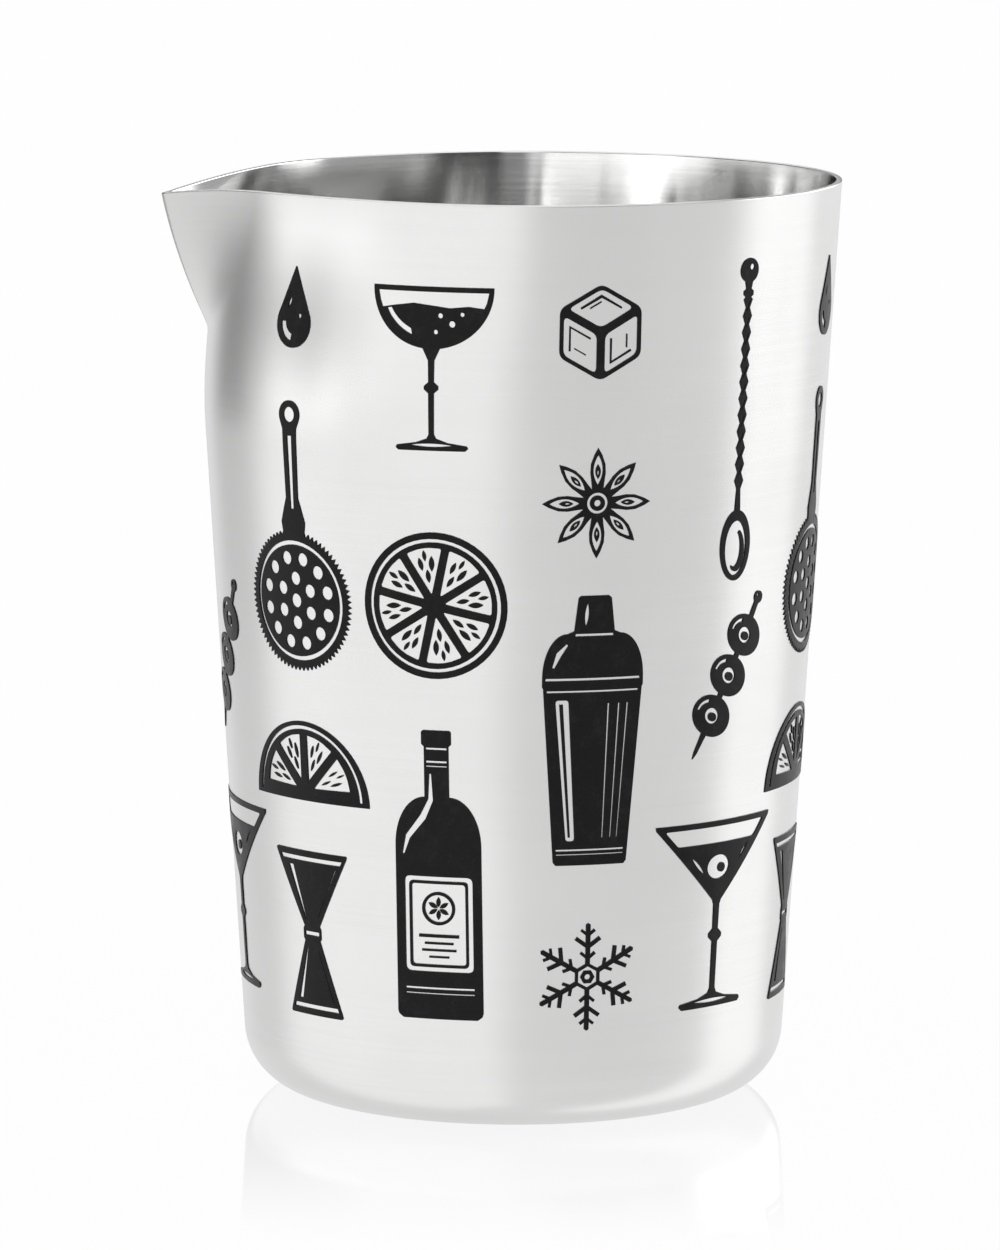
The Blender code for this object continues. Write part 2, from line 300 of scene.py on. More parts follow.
def pressedTinTree(rows):
    board, line, size = newShapeTree("pressedTin", spout)
    # the flat sheet runs from -1 to 1 round the axis and from -0.5 to 0.5 along the line
    sheet = board.wire("GeometryNodeMeshGrid", None, {
        "Size X": 2.0, "Size Y": 1.0, "Vertices X": size["Columns"] + 1.0, "Vertices Y": rows,
    })
    across, up = board.split(board.wire("GeometryNodeInputPosition"))[:2]
    row = board.wire("FunctionNodeFloatToInt", {"rounding_mode": "ROUND"}, {0: (up + 0.5) * (rows - 1.0)})
    place = board.wire("GeometryNodeInputPosition")
    sampled = board.wire("GeometryNodeSampleIndex", {"data_type": "FLOAT_VECTOR"}, {
        "Geometry": line, "Value": place, "Index": row,
    })
    radius, along, height = board.split(sampled)  # the line carries its own length as Y

    turn = abs(across) * math.pi
    below = (size["Height"] - height).math("MINIMUM", size["Press Ends"])
    roundWall = size["Foot Radius"] + (size["Height"] - below) * size["Flare"]
    dent = size["Dent"] * (1.0 - board.step(below, 0.0, size["Press Ends"]))
    drawnIn = roundWall - dent
    shoulder = drawnIn + dent * board.step(turn, size["Dent Full To"], size["Dent Turn"])
    # flat flanks run back from the keel to where they touch the wall
    keel = size["Reach"] - below * (size["Keel Slope"] + below * size["Keel Curve"])
    touch = (drawnIn / keel).math("MINIMUM", 1.0).math("ARCCOSINE")
    flank = drawnIn / (touch - turn).math("MAXIMUM", 0.0).math("COSINE")
    pressed = flank.math("MAXIMUM", shoulder)
    reach = radius + pressed - roundWall
    toTip = (1.0 - turn / size["Drop Turn"]).math("MAXIMUM", 0.0) ** size["Drop Bend"]
    drop = size["Tip Drop"] * toTip * (1.0 - below / size["Drop Ends"]).math("MAXIMUM", 0.0)
    side = across.math("SIGN") * turn.math("SINE") * reach
    spot = board.vector(turn.math("COSINE") * reach * -1.0, side * -1.0, height - drop)
    # the length is read before the sheet is bent, and kept for the brushing
    kept = board.wire("GeometryNodeStoreNamedAttribute", {"data_type": "FLOAT", "domain": "POINT"}, {
        "Geometry": sheet, "Name": "along", "Value": along,
    })
    bent = board.wire("GeometryNodeSetPosition", None, {"Geometry": kept, "Position": spot})
    closed = board.wire("GeometryNodeMergeByDistance", None, {"Geometry": bent, "Distance": joinWithin})
    smooth = board.wire("GeometryNodeSetShadeSmooth", None, {"Geometry": closed})
    whole = board.wire("GeometryNodeRealizeInstances", None, {"Geometry": smooth})
    clad = board.wire("GeometryNodeSetMaterial", None, {"Geometry": whole, "Material": steelOutside})
    board.add("NodeGroupOutput", None, {"Geometry": clad})
    return board.tree


def makeTin():
    points = tinLine()
    line = bpy.data.meshes.new("tinLine")
    length = 0.0
    spots = []
    for i, (radius, height) in enumerate(points):
        length += math.dist(points[i], points[i - 1]) if i else 0.0
        spots.append((radius, length, height))
    line.from_pydata(spots, [(i, i + 1) for i in range(len(spots) - 1)], [])
    for steel in (None, steelOutside, steelInside):  # the tree leaves its first slot empty
        line.materials.append(steel)
    wall = {
        "thickness": tin["wall"], "offset": -1.0, "use_even_offset": True, "material_offset": 1,
    }
    lip = {
        "width": tin["lipRound"], "segments": tin["lipSteps"],
        "limit_method": "ANGLE", "angle_limit": math.radians(tin["lipOver"]),
    }
    finishes = (("SOLIDIFY", wall), ("BEVEL", lip))
    piece = runShapeTree("tinCup", line, pressedTinTree(len(points)), spout, finishes)
    piece.data.materials.append(steelInside)
    piece.data.materials.pop(index=0)
    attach(piece, "root")
    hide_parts("tin_body")
    print("tin turned and pressed,", len(piece.data.polygons), "faces")
    return piece


tinCup = makeTin()


# Drawings of the marks: loops one unit high about their own middle; a loop inside another clears it
def polar(radius, degrees, centre=(0.0, 0.0)):
    turn = math.radians(degrees)
    return centre[0] + radius * math.cos(turn), centre[1] + radius * math.sin(turn)


def arc(centre, radius, start, end, steps=24):
    return [polar(radius, start + (end - start) * i / steps, centre) for i in range(steps + 1)]


def disc(centre, radius, steps=28):
    return arc(centre, radius, 0.0, 360.0, steps)[:-1]


def bow(centre, wide, high, start, end, steps=16):
    # part of an ellipse, its angle measured from straight up towards the right
    turns = [math.radians(start + (end - start) * i / steps) for i in range(steps + 1)]
    return [(centre[0] + wide * math.sin(t), centre[1] + high * math.cos(t)) for t in turns]


def band(top, topHalf, bottom, bottomHalf, middle=0.0):
    return [
        (middle - topHalf, top), (middle + topHalf, top),
        (middle + bottomHalf, bottom), (middle - bottomHalf, bottom),
    ]


def mirrored(half):
    # half runs down the right-hand edge, from the middle line back to it
    onMiddle = 1e-9
    return half + [(-x, y) for x, y in reversed(half) if x > onMiddle]


def lens(centre, length, width, degrees, steps=6):
    # a pointed seed shape lying along the given direction
    along = (math.cos(math.radians(degrees)), math.sin(math.radians(degrees)))
    loop = []
    for side in (1.0, -1.0):
        for i in range(steps):
            run = (i / steps - 0.5) * side
            bulge = width / 2 * (1.0 - (2.0 * run) ** 2) * side
            loop.append((
                centre[0] + run * length * along[0] - bulge * along[1],
                centre[1] + run * length * along[1] + bulge * along[0],
            ))
    return loop


def brush(path, width, thin=0.25):
    # a pen stroke: full in the middle of its path and thin at its two ends
    left, right = [], []
    for i, (x, y) in enumerate(path):
        before, after = path[max(i - 1, 0)], path[min(i + 1, len(path) - 1)]
        length = math.dist(before, after)
        across = ((before[1] - after[1]) / length, (after[0] - before[0]) / length)
        swell = math.sin(math.pi * i / (len(path) - 1))
        half = width / 2 * (thin + (1.0 - thin) * swell)
        left.append((x + across[0] * half, y + across[1] * half))
        right.append((x - across[0] * half, y - across[1] * half))
    return left + right[::-1]


def rounded(corners, radius, steps=4):
    # the corners of a loop cut back and drawn round
    loop = []
    for i, corner in enumerate(corners):
        ends = []
        for other in (corners[i - 1], corners[(i + 1) % len(corners)]):
            share = radius / math.dist(corner, other)
            ends.append([c + (o - c) * share for c, o in zip(corner, other)])
        for step in range(steps + 1):
            t = step / steps
            bent = zip(ends[0], corner, ends[1])
            loop.append(tuple(a * (1 - t) ** 2 + 2 * c * t * (1 - t) + b * t * t for a, c, b in bent))
    return loop


def pulpCell(heart, near, far, middle, spread):
    # one clear cell of a citrus fruit, with drops of pulp in it
    outer = arc(heart, far, middle - spread, middle + spread, 6)
    loops = [rounded([polar(near, middle, heart), outer[0]] + outer[2:-2] + [outer[-1]], 0.018, 3)]
    pulp = ((0.40, 0.0, 0.085), (0.66, -0.42, 0.10), (0.68, 0.40, 0.085), (0.84, 0.02, 0.07))
    for share, aside, size in pulp:
        spot = polar(near + (far - near) * share, middle + spread * aside, heart)
        loops.append(lens(spot, size * (far - near) / 0.3, size * 0.38, middle + spread * aside))
    return loops


def citrusWheel():
    loops = [disc((0.0, 0.0), 0.5, 56), disc((0.0, 0.0), 0.455, 52), disc((0.0, 0.0), 0.432, 52)]
    for middle in range(0, 360, 45):
        loops += pulpCell((0.0, 0.0), 0.075, 0.395, middle, 18.5)
    return loops


def citrusWedge():
    heart = (0.0, -0.40)
    rind = arc((0.0, -0.5), 1.0, 0.0, 180.0, 40)
    clear = arc((0.0, -0.46), 0.905, 1.0, 179.0, 38)
    pith = arc((0.0, -0.46), 0.86, 1.0, 179.0, 38)
    loops = [rind, clear, pith]
    for middle in range(24, 180, 44):
        loops += pulpCell(heart, 0.16, 0.735, middle, 17.5)
    return loops


def iceCube():
    corners = [polar(0.5, 90 + 60 * corner) for corner in range(6)]
    loops = [rounded(corners, 0.07)]
    for first in (1, 3, 5):
        face = [(0.0, 0.0)] + [corners[(first + step) % 6] for step in range(3)]
        middle = [sum(along) / 4 for along in zip(*face)]
        cell, glint, frost = (
            [tuple(m + share * (p - m) for m, p in zip(middle, point)) for point in face]
            for share in (0.80, 0.50, 0.28)
        )
        loops.append(rounded(cell, 0.06))
        loops.append(brush(glint[1:4] if first == 5 else glint[0:3], 0.034, 0.6))
        loops.append(brush(frost[2:4], 0.022, 0.6))
    return loops


def snowflake():
    side = [(0.12, 0.022), (0.17, 0.022), (0.215, 0.075), (0.238, 0.058), (0.208, 0.022), (0.27, 0.022)]
    side += [(0.345, 0.125), (0.375, 0.102), (0.318, 0.022), (0.385, 0.022), (0.425, 0.072), (0.446, 0.055)]
    side += [(0.42, 0.022), (0.485, 0.022), (0.5, 0.0)]
    arm = [(x, -y) for x, y in side] + [(x, y) for x, y in side[-2::-1]]
    outline = []
    for degrees in range(30, 390, 60):
        across = math.sin(math.radians(degrees))
        along = math.cos(math.radians(degrees))
        outline += [(x * along - y * across, x * across + y * along) for x, y in arm]
    loops = [outline, [polar(0.098, 30 + 60 * corner) for corner in range(6)]]
    return loops + [[polar(0.068, 60 * corner) for corner in range(6)], disc((0.0, 0.0), 0.026, 12)]


def starAnise():
    outline = []
    loops = []
    for middle in range(0, 360, 45):
        edge = [(0.135, -22.5), (0.20, -17.0), (0.28, -14.5), (0.36, -10.5), (0.44, -4.5), (0.5, 0.0)]
        outline += [polar(radius, middle + aside) for radius, aside in edge]
        outline += [polar(radius, middle - aside) for radius, aside in edge[-2:0:-1]]
        loops.append(lens(polar(0.30, middle), 0.27, 0.086, middle, 8))
        loops.append(lens(polar(0.285, middle), 0.135, 0.050, middle, 6))
        loops.append(lens(polar(0.275, middle), 0.05, 0.014, middle, 4))
    loops += [disc((0.0, 0.0), 0.095, 24), disc((0.0, 0.0), 0.070, 22), disc((0.0, 0.0), 0.030, 14)]
    return [outline] + loops


def droplet():
    middle, radius, tip = (0.0, -0.2), 0.30, 0.5
    tangent = math.degrees(math.acos(radius / (tip - middle[1])))
    drop = [(0.0, tip)] + arc(middle, radius, 90 + tangent, 450 - tangent, 30)
    glint = arc(middle, 0.215, 175, 262, 12) + arc((0.03, -0.175), 0.160, 255, 182, 12)
    return [drop, glint, disc((0.115, -0.10), 0.030, 12), lens((-0.075, 0.06), 0.16, 0.045, 68)]


def stemmed(bowl):
    knop = [(0.020, 0.05), (0.018, -0.08), (0.046, -0.105), (0.046, -0.125), (0.018, -0.15), (0.017, -0.40)]
    foot = [(0.03, -0.425), (0.10, -0.45), (0.22, -0.468), (0.228, -0.484), (0.21, -0.5), (0.0, -0.5)]
    return mirrored([(0.0, 0.5)] + bowl + knop + foot)


def footGlint():
    return lens((0.0, -0.466), 0.26, 0.020, 0.0, 8)


def coupe():
    bowl = bow((0.0, 0.5), 0.4, -0.38, 90, 8, 20)
    air = [(-0.368, 0.468), (0.368, 0.468), (0.352, 0.405), (0.336, 0.372)]
    air += [(0.24, 0.384), (0.12, 0.372), (0.0, 0.386), (-0.12, 0.398), (-0.24, 0.382)]
    air += [(-0.336, 0.366), (-0.352, 0.405)]
    glint = bow((0.0, 0.5), 0.335, -0.318, -64, -22, 10) + bow((0.0, 0.5), 0.305, -0.285, -26, -62, 10)
    loops = [stemmed(bowl), air, glint]
    bubbles = ((0.06, 0.325, 0.016), (0.135, 0.275, 0.020), (0.20, 0.335, 0.013), (0.03, 0.225, 0.014))
    for x, y, radius in bubbles:
        loops.append(disc((x, y), radius, 12))
    return loops + [footGlint()]


def martini():
    bowl = [(0.43, 0.5), (0.425, 0.478), (0.03, 0.075)]
    air = rounded([(-0.372, 0.470), (0.372, 0.470), (0.285, 0.382), (-0.285, 0.382)], 0.018)
    olive = bow((0.0, 0.252), 0.082, 0.064, 0, 360, 24)[:-1]
    stone = bow((0.022, 0.247), 0.026, 0.026, 0, 360, 14)[:-1]
    glints = [lens((-0.145, 0.268), 0.13, 0.018, -46), lens((0.195, 0.318), 0.12, 0.016, 47)]
    return [stemmed(bowl), air, olive, stone] + glints + [footGlint()]


def bottle():
    neck = [(0.0, 0.5), (0.046, 0.5), (0.052, 0.494), (0.052, 0.452), (0.043, 0.444)]
    shoulder = bow((0.043, 0.1), 0.107, 0.17, 0, 90, 14)
    heel = [(0.15, -0.476), (0.146, -0.488), (0.13, -0.5), (0.0, -0.5)]
    loops = [mirrored(neck + shoulder + heel)]
    for top, bottom in ((0.440, 0.433), (0.395, 0.388), (0.378, 0.374)):
        loops.append(band(top, 0.036, bottom, 0.036))
    glint = [(-0.022, 0.35), (-0.022, 0.26), (-0.05, 0.20), (-0.105, 0.13), (-0.122, 0.07)]
    loops.append(brush(glint, 0.022, 0.3))
    label = ((-0.005, -0.335, 0.118, 0.02), (-0.020, -0.320, 0.103, 0.016), (-0.030, -0.310, 0.093, 0.012))
    for top, bottom, half, corner in label:
        loops.append(rounded(band(top, half, bottom, half), corner))
    flower = (0.0, -0.115)
    loops += [disc(flower, 0.058, 28), disc(flower, 0.047, 26)]
    for turn in range(30, 390, 60):
        loops.append(lens(polar(0.022, turn, flower), 0.036, 0.016, turn, 4))
    strokes = [(-0.205, -0.216, 0.070), (-0.232, -0.240, 0.050), (-0.256, -0.264, 0.060)]
    strokes += [(-0.280, -0.287, 0.035), (-0.390, -0.397, 0.120), (-0.410, -0.414, 0.120)]
    return loops + [band(top, half, bottom, half) for top, bottom, half in strokes]


def shaker():
    cap = [(0.0, 0.5), (0.052, 0.5), (0.062, 0.492), (0.076, 0.37)]
    dome = bow((0.1, 0.2), 0.09, 0.16, 0, 90, 12)
    foot = [(0.190, 0.165), (0.186, 0.158), (0.138, -0.488), (0.128, -0.5), (0.0, -0.5)]
    rings = [(0.360, 0.070, 0.351, 0.072), (0.196, 0.176, 0.187, 0.178), (0.150, 0.172, 0.143, 0.171)]
    rings += [(-0.440, 0.128, -0.447, 0.127), (-0.458, 0.126, -0.462, 0.126)]
    loops = [mirrored(cap + dome + foot)] + [band(*ring) for ring in rings]
    loops.append(rounded([(-0.140, 0.115), (-0.092, 0.115), (-0.060, -0.41), (-0.092, -0.41)], 0.012))
    loops.append([(-0.126, 0.10), (-0.112, 0.10), (-0.076, -0.395), (-0.084, -0.395)])
    loops.append(brush([(-0.150, 0.235), (-0.130, 0.285), (-0.100, 0.320)], 0.020, 0.4))
    loops.append(lens((-0.030, 0.43), 0.085, 0.014, 86))
    for rib in (0.055, 0.095, 0.128):
        loops.append([(rib, 0.10), (rib + 0.006, 0.10), (rib * 0.76 + 0.004, -0.40), (rib * 0.76, -0.40)])
    return loops


def jigger():
    half = [(0.0, 0.5), (0.288, 0.5), (0.298, 0.492), (0.292, 0.475), (0.062, 0.045), (0.072, 0.028)]
    half += [(0.072, -0.028), (0.062, -0.045), (0.214, -0.475), (0.218, -0.492), (0.21, -0.5), (0.0, -0.5)]
    loops = [mirrored(half), band(0.462, 0.262, 0.436, 0.247), band(-0.436, 0.182, -0.462, 0.190)]
    loops += [band(0.012, 0.060, -0.012, 0.060)]
    loops.append([(-0.185, 0.405), (-0.140, 0.405), (-0.040, 0.085), (-0.052, 0.085)])
    loops.append([(0.205, 0.405), (0.214, 0.405), (0.060, 0.100), (0.056, 0.100)])
    loops.append([(-0.048, -0.085), (-0.036, -0.085), (-0.105, -0.405), (-0.140, -0.405)])
    loops.append([(0.048, -0.100), (0.052, -0.100), (0.158, -0.405), (0.150, -0.405)])
    return loops


def barSpoon():
    button = arc((0.0, 0.462), 0.038, 90, -66, 14)
    collar = [(0.010, 0.405), (0.020, 0.398), (0.020, 0.386), (0.011, 0.379)]
    twist = []
    for turn in range(24):
        twist.append((0.0125 + 0.0055 * math.cos(math.pi * turn), 0.372 - 0.0255 * turn))
    bowl = bow((0.0, -0.39), 0.065, 0.11, 10, 180, 22)
    loops = [mirrored(button + collar + twist + bowl), disc((0.010, 0.472), 0.010, 10)]
    for turn in range(11):
        y = 0.352 - 0.051 * turn
        loops.append([(-0.0085, y - 0.016), (-0.0045, y - 0.016), (0.0085, y + 0.016), (0.0045, y + 0.016)])
    loops.append(bow((0.0, -0.398), 0.046, 0.085, 0, 360, 26)[:-1])
    glint = bow((0.004, -0.406), 0.034, 0.066, 20, 215, 14)
    glint += bow((-0.004, -0.400), 0.026, 0.056, 205, 30, 14)
    return loops + [glint]


def strainer():
    centre = (0.0, -0.24)
    handle = arc((0.0, 0.448), 0.052, 90, -22, 10)
    handle += [(0.034, 0.395), (0.030, 0.14), (0.044, 0.10), (0.060, 0.05)]
    coil = []
    coilSteps = 72
    for step in range(coilSteps + 1):
        degrees = 78.0 - 168.0 * step / coilSteps
        coil.append(polar(0.252 + 0.009 * math.cos(math.pi * step), degrees, centre))
    loops = [mirrored(handle + coil[:-1] + [(0.0, -0.5)])]
    loops += [disc((0.0, 0.448), 0.028, 18), disc(centre, 0.222, 52), disc(centre, 0.207, 50)]
    loops.append([(-0.012, 0.37), (0.012, 0.37), (0.009, 0.10), (-0.009, 0.10)])
    loops.append(disc(centre, 0.026, 16))
    for radius, count, size in ((0.082, 6, 0.025), (0.160, 12, 0.025)):
        for hole in range(count):
            loops.append(disc(polar(radius, 360.0 * (hole + 0.5) / count, centre), size, 16))
    return loops


def olivePick():
    half = arc((0.0, 0.465), 0.035, 90, -62, 12)
    loops = []
    for middle in (0.24, 0.0, -0.24):
        half += bow((0.0, middle), 0.14, 0.112, 7, 173, 18)
        loops.append(bow((0.0, middle), 0.052, 0.042, 0, 360, 20)[:-1])
        loops.append(bow((0.006, middle - 0.004), 0.030, 0.024, 0, 360, 16)[:-1])
        glint = bow((0.0, middle), 0.115, 0.088, -96, -32, 8)
        loops.append(glint + bow((0.0, middle), 0.095, 0.070, -36, -92, 8))
    half += [(0.014, -0.385), (0.010, -0.46), (0.0, -0.5)]
    return [mirrored(half)] + loops + [disc((-0.010, 0.474), 0.010, 10)]


# Where the drawings stand: height and middle in metres, lean in degrees, column 0 to 3 of the pattern
markPattern = (
    {"node": "bottle", "draw": bottle, "high": 0.040, "middle": 0.036, "lean": 0.0, "column": 0},
    {"node": "citrus_wheel", "draw": citrusWheel, "high": 0.020, "middle": 0.073, "lean": 10.0, "column": 0},
    {"node": "coupe", "draw": coupe, "high": 0.022, "middle": 0.105, "lean": 0.0, "column": 0},
    {"node": "snowflake", "draw": snowflake, "high": 0.015, "middle": 0.022, "lean": 0.0, "column": 1},
    {"node": "shaker", "draw": shaker, "high": 0.037, "middle": 0.056, "lean": 0.0, "column": 1},
    {"node": "star_anise", "draw": starAnise, "high": 0.015, "middle": 0.087, "lean": 0.0, "column": 1},
    {"node": "ice_cube", "draw": iceCube, "high": 0.013, "middle": 0.110, "lean": 0.0, "column": 1},
    {"node": "martini", "draw": martini, "high": 0.026, "middle": 0.029, "lean": 0.0, "column": 2},
    {"node": "olive_pick", "draw": olivePick, "high": 0.025, "middle": 0.062, "lean": -28.0, "column": 2},
    {"node": "bar_spoon", "draw": barSpoon, "high": 0.044, "middle": 0.097, "lean": 0.0, "column": 2},
    {"node": "jigger", "draw": jigger, "high": 0.023, "middle": 0.026, "lean": 0.0, "column": 3},
    {"node": "citrus_wedge", "draw": citrusWedge, "high": 0.011, "middle": 0.050, "lean": 0.0, "column": 3},
    {"node": "strainer", "draw": strainer, "high": 0.037, "middle": 0.081, "lean": 0.0, "column": 3},
    {"node": "droplet", "draw": droplet, "high": 0.011, "middle": 0.112, "lean": 0.0, "column": 3},
)
enamelSheet = {
    "thick": 0.00012, "uprightPitch": 0.0012, "levelPitch": 0.0024, "scoreWithin": 1e-7,
    "firstTurn": 15.0, "columnTurn": 30.0, "sharpOver": 40.0,
}
wrap = {
    "Tin": tinCup, "Copies": 3, "Turn Step": math.radians(120.0),
    "First Turn": 0.0, "Middle": 0.0, "Half High": 0.0,  # set for each mark
    "Foot Radius": tin["footRadius"], "Flare": spout["Flare"], "Gap": 0.000015,
    "Bare Above": 0.090, "Bare Span": math.radians(40.0),  # beside the spout the wall stays plain
}


def flatMark(mark):
    # the drawing as a thin plate, scored both ways at even steps so that it bends round the wall
    curve = bpy.data.curves.new("drawing", "CURVE")
    curve.dimensions = "2D"
    curve.fill_mode = "BOTH"
    curve.extrude = enamelSheet["thick"] / 2
    lean = Matrix.Rotation(math.radians(mark["lean"]), 2)
    for loop in mark["draw"]():
        spline = curve.splines.new("POLY")
        spline.points.add(len(loop) - 1)
        spline.use_cyclic_u = True
        for point, spot in zip(spline.points, loop):
            x, y = (lean @ Vector(spot)) * mark["high"]
            point.co = (x, y, 0.0, 1.0)
    drawn = bpy.data.objects.new("drawing", curve)
    scene.collection.objects.link(drawn)
    graph = bpy.context.evaluated_depsgraph_get()
    mesh = bpy.data.meshes.new_from_object(drawn.evaluated_get(graph))
    bpy.data.objects.remove(drawn)

    plate = bmesh.new()
    plate.from_mesh(mesh)
    bmesh.ops.remove_doubles(plate, verts=plate.verts, dist=joinWithin)
    within = enamelSheet["scoreWithin"]
    for across, pitch in (((1.0, 0.0, 0.0), "uprightPitch"), ((0.0, 1.0, 0.0), "levelPitch")):
        across, spacing = Vector(across), enamelSheet[pitch]
        half = max(abs(vertex.co.dot(across)) for vertex in plate.verts)
        for step in range(-int(half / spacing), int(half / spacing) + 1):
            everything = plate.verts[:] + plate.edges[:] + plate.faces[:]
            score = across * step * spacing
            bmesh.ops.bisect_plane(plate, geom=everything, dist=within, plane_co=score, plane_no=across)
    bmesh.ops.recalc_face_normals(plate, faces=plate.faces)
    plate.to_mesh(mesh)
    plate.free()
    return mesh


def wrapTree():
    board, flat, size = newShapeTree("wrapOnWall", wrap)
    x, y, z = board.split(board.wire("GeometryNodeInputPosition"))
    height = size["Middle"] + y * math.cos(taper)
    wall = size["Foot Radius"] + height * size["Flare"]
    aside = x / wall
    spot = board.vector(aside.math("COSINE") * wall, aside.math("SINE") * wall, height)
    lifted = board.wire("GeometryNodeStoreNamedAttribute", {"data_type": "FLOAT", "domain": "POINT"}, {
        "Geometry": flat, "Name": "lift", "Value": size["Gap"] + enamelSheet["thick"] / 2 + z,
    })
    bent = board.wire("GeometryNodeSetPosition", None, {"Geometry": lifted, "Position": spot})
    smooth = board.wire("GeometryNodeSetShadeSmooth", None, {"Geometry": bent})

    places = board.wire("GeometryNodePoints", None, {"Count": size["Copies"]})
    turn = size["First Turn"] + board.wire("GeometryNodeInputIndex") * size["Turn Step"]
    fromSpout = abs((turn - math.pi).math("WRAP", math.pi, -math.pi))
    beside = fromSpout.math("LESS_THAN", size["Bare Span"])
    tall = (size["Middle"] + size["Half High"]).math("GREATER_THAN", size["Bare Above"])
    rotation = board.wire("FunctionNodeEulerToRotation", None, {0: board.vector(0.0, 0.0, turn)})
    copies = board.wire("GeometryNodeInstanceOnPoints", None, {
        "Points": places, "Selection": 1.0 - beside * tall, "Instance": smooth, "Rotation": rotation,
    })
    whole = board.wire("GeometryNodeRealizeInstances", None, {"Geometry": copies})
    # every point is laid on the pressed wall, found from outside along a level ray to the axis
    x, y, z = board.split(board.wire("GeometryNodeInputPosition"))
    away = (x * x + y * y).math("SQRT")
    outX, outY = x / away, y / away
    start = size["Foot Radius"] * 2.0  # well outside the spout
    target = board.wire(
        "GeometryNodeObjectInfo", {"transform_space": "ORIGINAL"}, {"Object": size["Tin"]}, "Geometry"
    )
    found = board.wire("GeometryNodeRaycast", None, {
        "Target Geometry": target, "Source Position": board.vector(outX * start, outY * start, z),
        "Ray Direction": board.vector(outX * -1.0, outY * -1.0, 0.0), "Ray Length": start,
    }, "Hit Distance")
    lift = board.wire("GeometryNodeInputNamedAttribute", {"data_type": "FLOAT"}, {"Name": "lift"})
    reach = start - found + lift
    laid = board.wire("GeometryNodeSetPosition", None, {
        "Geometry": whole, "Position": board.vector(outX * reach, outY * reach, z),
    })
    coated = board.wire("GeometryNodeSetMaterial", None, {"Geometry": laid, "Material": enamel})
    board.add("NodeGroupOutput", None, {"Geometry": coated})
    return board.tree


def makeMarks():
    tree = wrapTree()
    faces = 0
    for mark in markPattern:
        sizes = dict(wrap)
        turn = enamelSheet["firstTurn"] + enamelSheet["columnTurn"] * mark["column"]
        sizes["First Turn"] = math.radians(turn)
        sizes["Middle"] = mark["middle"]
        sizes["Half High"] = mark["high"] / 2
        piece = runShapeTree(mark["draw"].__name__ + "Marks", flatMark(mark), tree, sizes)
        piece.data.set_sharp_from_angle(angle=math.radians(enamelSheet["sharpOver"]))
        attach(piece, "root")
        solids = f"mark_{mark['node']}_"
        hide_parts(*sorted(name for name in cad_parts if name.startswith(solids)))
        faces += len(piece.data.polygons)
    print("marks wrapped,", len(markPattern), "drawings,", faces, "faces")


makeMarks()


# Floor, light and camera
white = (1.0, 1.0, 1.0, 1.0)
floorLook = {
    "radius": 3.0, "segments": 96, "sunk": 0.0002, "matt": (0.95, 0.95, 0.95, 1.0), "glowShare": 0.94,
    "mirrorShare": 0.18, "mirrorRough": 0.03, "mirrorFull": 0.036, "mirrorGone": 0.108,  # fades from the foot
}


def makeFloor():
    mesh = bpy.data.meshes.new("floor")
    form = bmesh.new()
    bmesh.ops.create_circle(
        form, cap_ends=True, segments=floorLook["segments"], radius=floorLook["radius"]
    )
    form.to_mesh(mesh)
    form.free()
    mesh.transform(Matrix.Translation((0.0, 0.0, -floorLook["sunk"])))
    floor = bpy.data.objects.new("floor", mesh)
    scene.collection.objects.link(floor)
    material, board = newMaterial("whiteFloor")
    x, y = board.split(board.wire("ShaderNodeTexCoord", None, None, "Object"))[:2]
    away = (x * x + y * y).math("SQRT")
    path = board.add("ShaderNodeLightPath")
    seen = Wire(board, path.outputs["Is Camera Ray"])
    for kind in ("Is Glossy Ray", "Is Transmission Ray"):
        seen = seen.math("MAXIMUM", Wire(board, path.outputs[kind]))
    matt = board.add("ShaderNodeBsdfDiffuse", None, {"Color": floorLook["matt"]})
    glow = board.add("ShaderNodeEmission", None, {"Color": white, "Strength": 1.0})
    gloss = board.add("ShaderNodeBsdfGlossy", None, {"Color": white, "Roughness": floorLook["mirrorRough"]})
    share = seen * floorLook["glowShare"]
    lit = board.add("ShaderNodeMixShader", None, {0: share, 1: matt.outputs[0], 2: glow.outputs[0]})
    fading = 1.0 - board.step(away, floorLook["mirrorFull"], floorLook["mirrorGone"])
    sheen = fading * floorLook["mirrorShare"]
    shader = board.add("ShaderNodeMixShader", None, {0: sheen, 1: lit.outputs[0], 2: gloss.outputs[0]})
    finishMaterial(board, shader)
    mesh.materials.append(material)
    floor.visible_glossy = False  # the steel mirrors the studio's lower half in its place


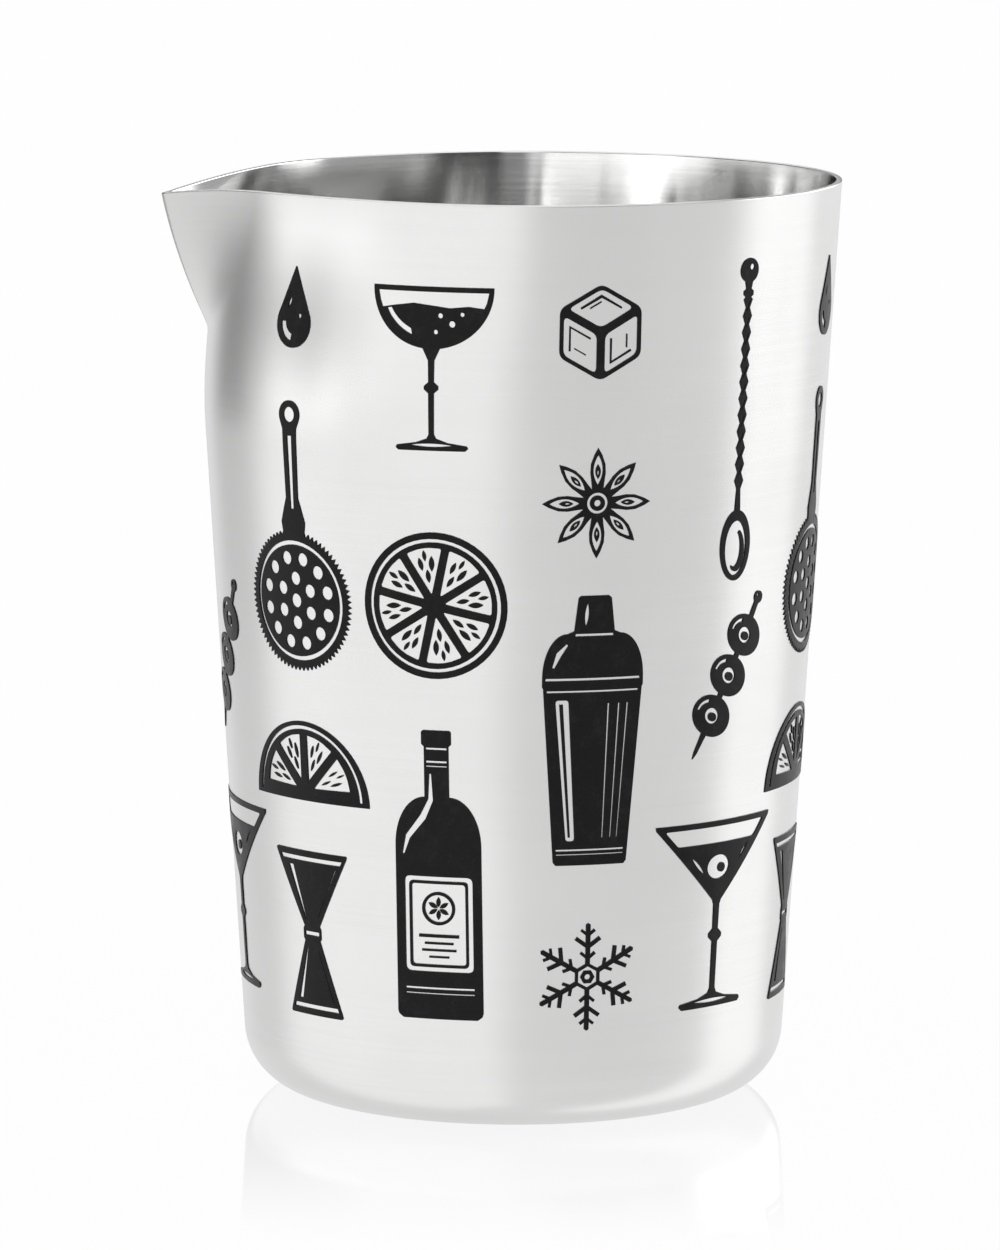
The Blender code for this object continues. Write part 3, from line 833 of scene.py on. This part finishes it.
# Angles in degrees, turning right from the camera's side; each panel covers the ones before it
studio = {
    "room": 0.82,
    "panels": (
        # a white ceiling
        {"from": -181.0, "to": 181.0, "edge": 0.5, "low": 17.0, "high": 91.0, "fade": 1.5, "level": 1.00},
        # under eye level, for the outside of the wall
        {"from": -112.0, "to": -4.0, "edge": 11.0, "low": -80.0, "high": 1.5, "fade": 1.5, "level": 1.03},
        {"from": -102.0, "to": -68.0, "edge": 8.0, "low": -6.0, "high": 1.8, "fade": 1.2, "level": 1.60},
        {"from": 16.0, "to": 84.0, "edge": 26.0, "low": -80.0, "high": -1.5, "fade": 1.5, "level": 0.82},
        {"from": 91.0, "to": 130.0, "edge": 8.0, "low": -80.0, "high": -1.5, "fade": 1.5, "level": 1.12},
        {"from": -150.0, "to": -112.0, "edge": 9.0, "low": -10.0, "high": 2.5, "fade": 3.0, "level": 0.60},
        {"from": -142.0, "to": -120.0, "edge": 8.0, "low": -7.5, "high": 2.5, "fade": 3.0, "level": 0.33},
        # at and over eye level, for the inside
        {"from": -180.0, "to": -60.0, "edge": 10.0, "low": 2.2, "high": 17.0, "fade": 1.2, "level": 0.03},
        {"from": 156.0, "to": 181.0, "edge": 8.0, "low": -1.5, "high": 17.0, "fade": 1.5, "level": 0.10},
        {"from": 84.0, "to": 156.0, "edge": 8.0, "low": -1.5, "high": 17.0, "fade": 1.5, "level": 2.80},
        {"from": 109.0, "to": 115.0, "edge": 2.0, "low": -1.5, "high": 5.0, "fade": 1.0, "level": 0.40},
        {"from": 48.0, "to": 84.0, "edge": 6.0, "low": -1.5, "high": 17.0, "fade": 1.5, "level": 0.34},
        {"from": 2.0, "to": 50.0, "edge": 5.0, "low": -1.5, "high": 17.0, "fade": 1.5, "level": 0.03},
        {"from": -6.0, "to": 17.0, "edge": 4.0, "low": 4.8, "high": 17.0, "fade": 1.0, "level": 1.00},
        {"from": -55.0, "to": -6.0, "edge": 6.0, "low": 2.0, "high": 17.0, "fade": 1.5, "level": 0.30},
        {"from": -77.0, "to": -8.0, "edge": 4.0, "low": -1.5, "high": 3.4, "fade": 1.0, "level": 1.80},
        # higher up, for the lip of the spout
        {"from": 90.0, "to": 170.0, "edge": 5.0, "low": 21.0, "high": 50.0, "fade": 1.5, "level": 0.12},
        # over the backdrop, which the floor in front of the tin mirrors
        {"from": -184.0, "to": -168.0, "edge": 2.0, "low": 10.0, "high": 17.0, "fade": 0.6, "level": 1.00},
        {"from": 168.0, "to": 184.0, "edge": 2.0, "low": 10.0, "high": 17.0, "fade": 0.6, "level": 1.00},
    ),
}


def makeWorld():
    world = bpy.data.worlds.new("studio")
    world.use_nodes = True
    world.node_tree.nodes.clear()
    scene.world = world
    board = Board(world.node_tree)
    x, y, z = board.split(board.wire("ShaderNodeTexCoord", None, None, "Generated"))
    turn = x.math("ARCTAN2", y * -1.0) * math.degrees(1.0)
    rise = z.math("ARCSINE") * math.degrees(1.0)
    level = studio["room"]
    for panel in studio["panels"]:
        edge = panel["edge"]
        fade = panel["fade"]
        mask = board.step(turn, panel["from"] - edge, panel["from"] + edge)
        mask = mask * (1.0 - board.step(turn, panel["to"] - edge, panel["to"] + edge))
        mask = mask * board.step(rise, panel["low"] - fade, panel["low"] + fade)
        mask = mask * (1.0 - board.step(rise, panel["high"] - fade, panel["high"] + fade))
        level = level + (panel["level"] - level) * mask
    # the camera sees plain white, and the steel mirrors the room and its panels
    path = board.add("ShaderNodeLightPath")
    seen = Wire(board, path.outputs["Is Camera Ray"])
    seen = seen.math("MAXIMUM", Wire(board, path.outputs["Is Transmission Ray"]))
    strength = level * (1.0 - seen) + seen
    back = board.add("ShaderNodeBackground", None, {"Color": white, "Strength": strength})
    board.add("ShaderNodeOutputWorld", None, {"Surface": back.outputs[0]})


cameraView = {
    "away": 1.0279, "height": 0.2147, "pitch": 8.31, "yaw": 0.112, "roll": 0.15,
    "lens": 215.0, "sensor": 36.0,
}


def makeCamera():
    data = bpy.data.cameras.new("camera")
    data.sensor_width = cameraView["sensor"]
    data.lens = cameraView["lens"]
    camera = bpy.data.objects.new("camera", data)
    scene.collection.objects.link(camera)
    spot = Matrix.Translation((0.0, -cameraView["away"], cameraView["height"]))
    yaw = Matrix.Rotation(math.radians(cameraView["yaw"]), 4, "Z")
    pitch = Matrix.Rotation(math.radians(90.0 - cameraView["pitch"]), 4, "X")
    roll = Matrix.Rotation(math.radians(cameraView["roll"]), 4, "Z")
    camera.matrix_world = spot @ yaw @ pitch @ roll
    scene.camera = camera


makeFloor()
makeWorld()
makeCamera()
scene.view_settings.view_transform = "Standard"
print("floor, light and camera set")
